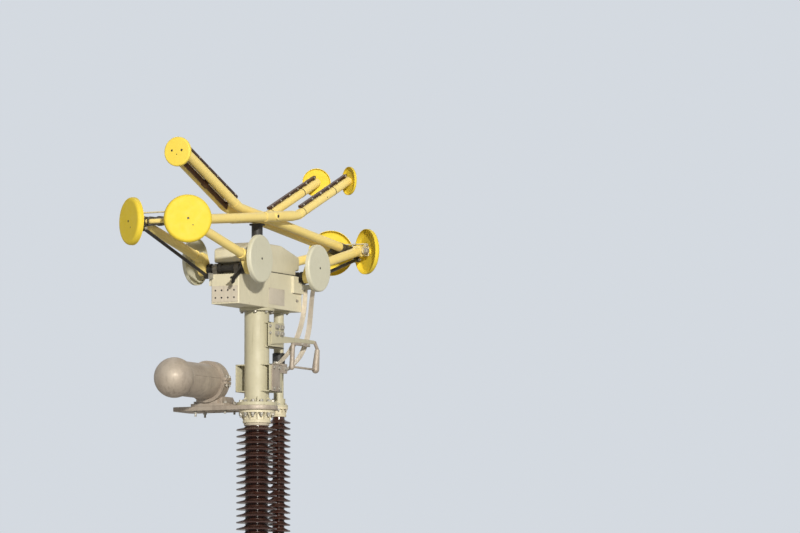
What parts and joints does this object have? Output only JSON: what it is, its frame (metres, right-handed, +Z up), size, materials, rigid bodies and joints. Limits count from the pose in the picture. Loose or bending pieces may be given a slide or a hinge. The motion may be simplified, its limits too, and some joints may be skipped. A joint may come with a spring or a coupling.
{
  "type": "pantograph disconnector",
  "caption": "Single column scissor disconnector: crossed folding arm pairs with corona discs on a gear housing, carried by a ribbed post insulator and turned by a slim one.",
  "frame": {"origin": "on the ground, centre of the base plate, under the axis of the post", "axes": "+Z up, +X the way the arms spread and towards the turning insulator, +Y towards the bus tube"},
  "size_m": [3.0542, 0.9821, 6.457],
  "materials": {
    "grey_steel": "sage grey paint, satin, dusty",
    "cream_cap": "cream paint on cast iron caps",
    "brown_glaze": "dark chocolate brown glaze, glossy",
    "weathered_aluminium": "dull, weathered, with grime streaks",
    "strap_aluminium": "pale flexible bands",
    "dull_steel": "zinc coated, dull",
    "dark_steel": "dark, greasy",
    "arm_yellow": "warm cream yellow paint",
    "yellow_disc": "lemon yellow paint, satin",
    "grey_disc": "pale grey green paint, satin",
    "contact_copper": "tarnished copper bars",
    "black_rubber": "black rest post"
  },
  "bodies": {
    "stand": {"base_plate": "grey_steel", "support_column": "grey_steel", "base_frame": "grey_steel", "post_base_flange": "cream_cap", "lower_post_insulator": "brown_glaze", "post_middle_flanges": "cream_cap", "upper_post_insulator": "brown_glaze", "post_top_cap": "cream_cap", "terminal_plate": "weathered_aluminium", "head_column": "grey_steel", "gear_housing": "grey_steel", "housing_hood": "grey_steel", "end_cover": "grey_steel", "shaft_bearings": "dull_steel", "guide_pivots": "dull_steel", "rest_post": "black_rubber", "guide_bracket": "grey_steel", "guard_loop": "dull_steel", "strap_terminal": "weathered_aluminium", "strap_clamps": "dull_steel", "bus_tube_end": "weathered_aluminium", "bus_clamp": "weathered_aluminium", "flexible_straps": "strap_aluminium", "drive_box": "grey_steel", "drive_box_door": "grey_steel", "rotary_bearing": "dull_steel"},
    "drive_insulator": {"drive_tube": "dull_steel", "lower_rotary_insulator": "brown_glaze", "rotary_couplings": "cream_cap", "upper_rotary_insulator": "brown_glaze", "head_drive_shaft": "grey_steel"},
    "left_lower": {"left_hinge_shaft": "dark_steel", "left_lower_arms": "arm_yellow", "left_hinge_discs": "grey_disc"},
    "right_lower": {"right_hinge_shaft": "dark_steel", "right_lower_arms": "arm_yellow", "right_hinge_discs": "grey_disc"},
    "outer_upper": {"outer_arms": "arm_yellow", "outer_arm_forks": "dull_steel", "outer_contact_bars": "contact_copper", "outer_tip_discs": "yellow_disc", "outer_cross_link": "dull_steel"},
    "inner_upper": {"inner_arms": "arm_yellow", "inner_arm_forks": "dull_steel", "inner_contact_bars": "contact_copper", "inner_tip_disc": "yellow_disc", "inner_cross_tube": "dark_steel", "inner_centre_rail": "contact_copper"},
    "left_elbow_shields": {"left_elbow_bracket": "dull_steel", "left_elbow_discs": "yellow_disc"},
    "right_elbow_shields": {"right_elbow_bracket": "dull_steel", "right_elbow_discs": "yellow_disc"},
    "left_guide": {"left_guide_rod": "dark_steel"},
    "right_guide": {"right_guide_rod": "dark_steel"}
  },
  "joints": [
    {"name": "left_arm_lift", "type": "hinge", "parent": "stand", "child": "left_lower", "pos_m": [-0.44, 0, 5.59], "axis": [0, 1, 0], "range_deg": [0, 79]},
    {"name": "right_arm_lift", "type": "hinge", "parent": "stand", "child": "right_lower", "pos_m": [0.44, 0, 5.59], "axis": [0, -1, 0], "range_deg": [0, 79.1]},
    {"name": "left_elbow", "type": "hinge", "parent": "left_lower", "child": "outer_upper", "pos_m": [-1.356, 0, 5.853], "axis": [0, -1, 0], "range_deg": [0, 148.48]},
    {"name": "right_elbow", "type": "hinge", "parent": "right_lower", "child": "inner_upper", "pos_m": [1.356, 0, 5.853], "axis": [0, 1, 0], "range_deg": [0, 148.48]},
    {"name": "left_shield_level", "type": "hinge", "parent": "left_lower", "child": "left_elbow_shields", "pos_m": [-1.356, 0, 5.853], "axis": [0, -1, 0], "range_deg": [0, 79.1]},
    {"name": "right_shield_level", "type": "hinge", "parent": "right_lower", "child": "right_elbow_shields", "pos_m": [1.356, 0, 5.853], "axis": [0, 1, 0], "range_deg": [0, 79.1]},
    {"name": "left_guide_swing", "type": "hinge", "parent": "stand", "child": "left_guide", "pos_m": [-0.504, 0.128, 5.536], "axis": [0, 1, 0], "range_deg": [0, 79.1]},
    {"name": "right_guide_swing", "type": "hinge", "parent": "stand", "child": "right_guide", "pos_m": [0.504, -0.068, 5.536], "axis": [0, -1, 0], "range_deg": [0, 79.1]},
    {"name": "insulator_turn", "type": "hinge", "parent": "stand", "child": "drive_insulator", "pos_m": [0.33, 0, 3], "axis": [0, 0, 1], "range_deg": [0, 100.2]}
  ],
  "couplings": [
    {"joint": "right_arm_lift", "follows": "left_arm_lift", "ratio": 1},
    {"joint": "left_elbow", "follows": "left_arm_lift", "ratio": 1.8732},
    {"joint": "right_elbow", "follows": "left_arm_lift", "ratio": 1.8732},
    {"joint": "left_shield_level", "follows": "left_arm_lift", "ratio": 1},
    {"joint": "right_shield_level", "follows": "left_arm_lift", "ratio": 1},
    {"joint": "left_guide_swing", "follows": "left_arm_lift", "ratio": 1},
    {"joint": "right_guide_swing", "follows": "left_arm_lift", "ratio": 1},
    {"joint": "insulator_turn", "follows": "left_arm_lift", "ratio": 1.2658}
  ]
}
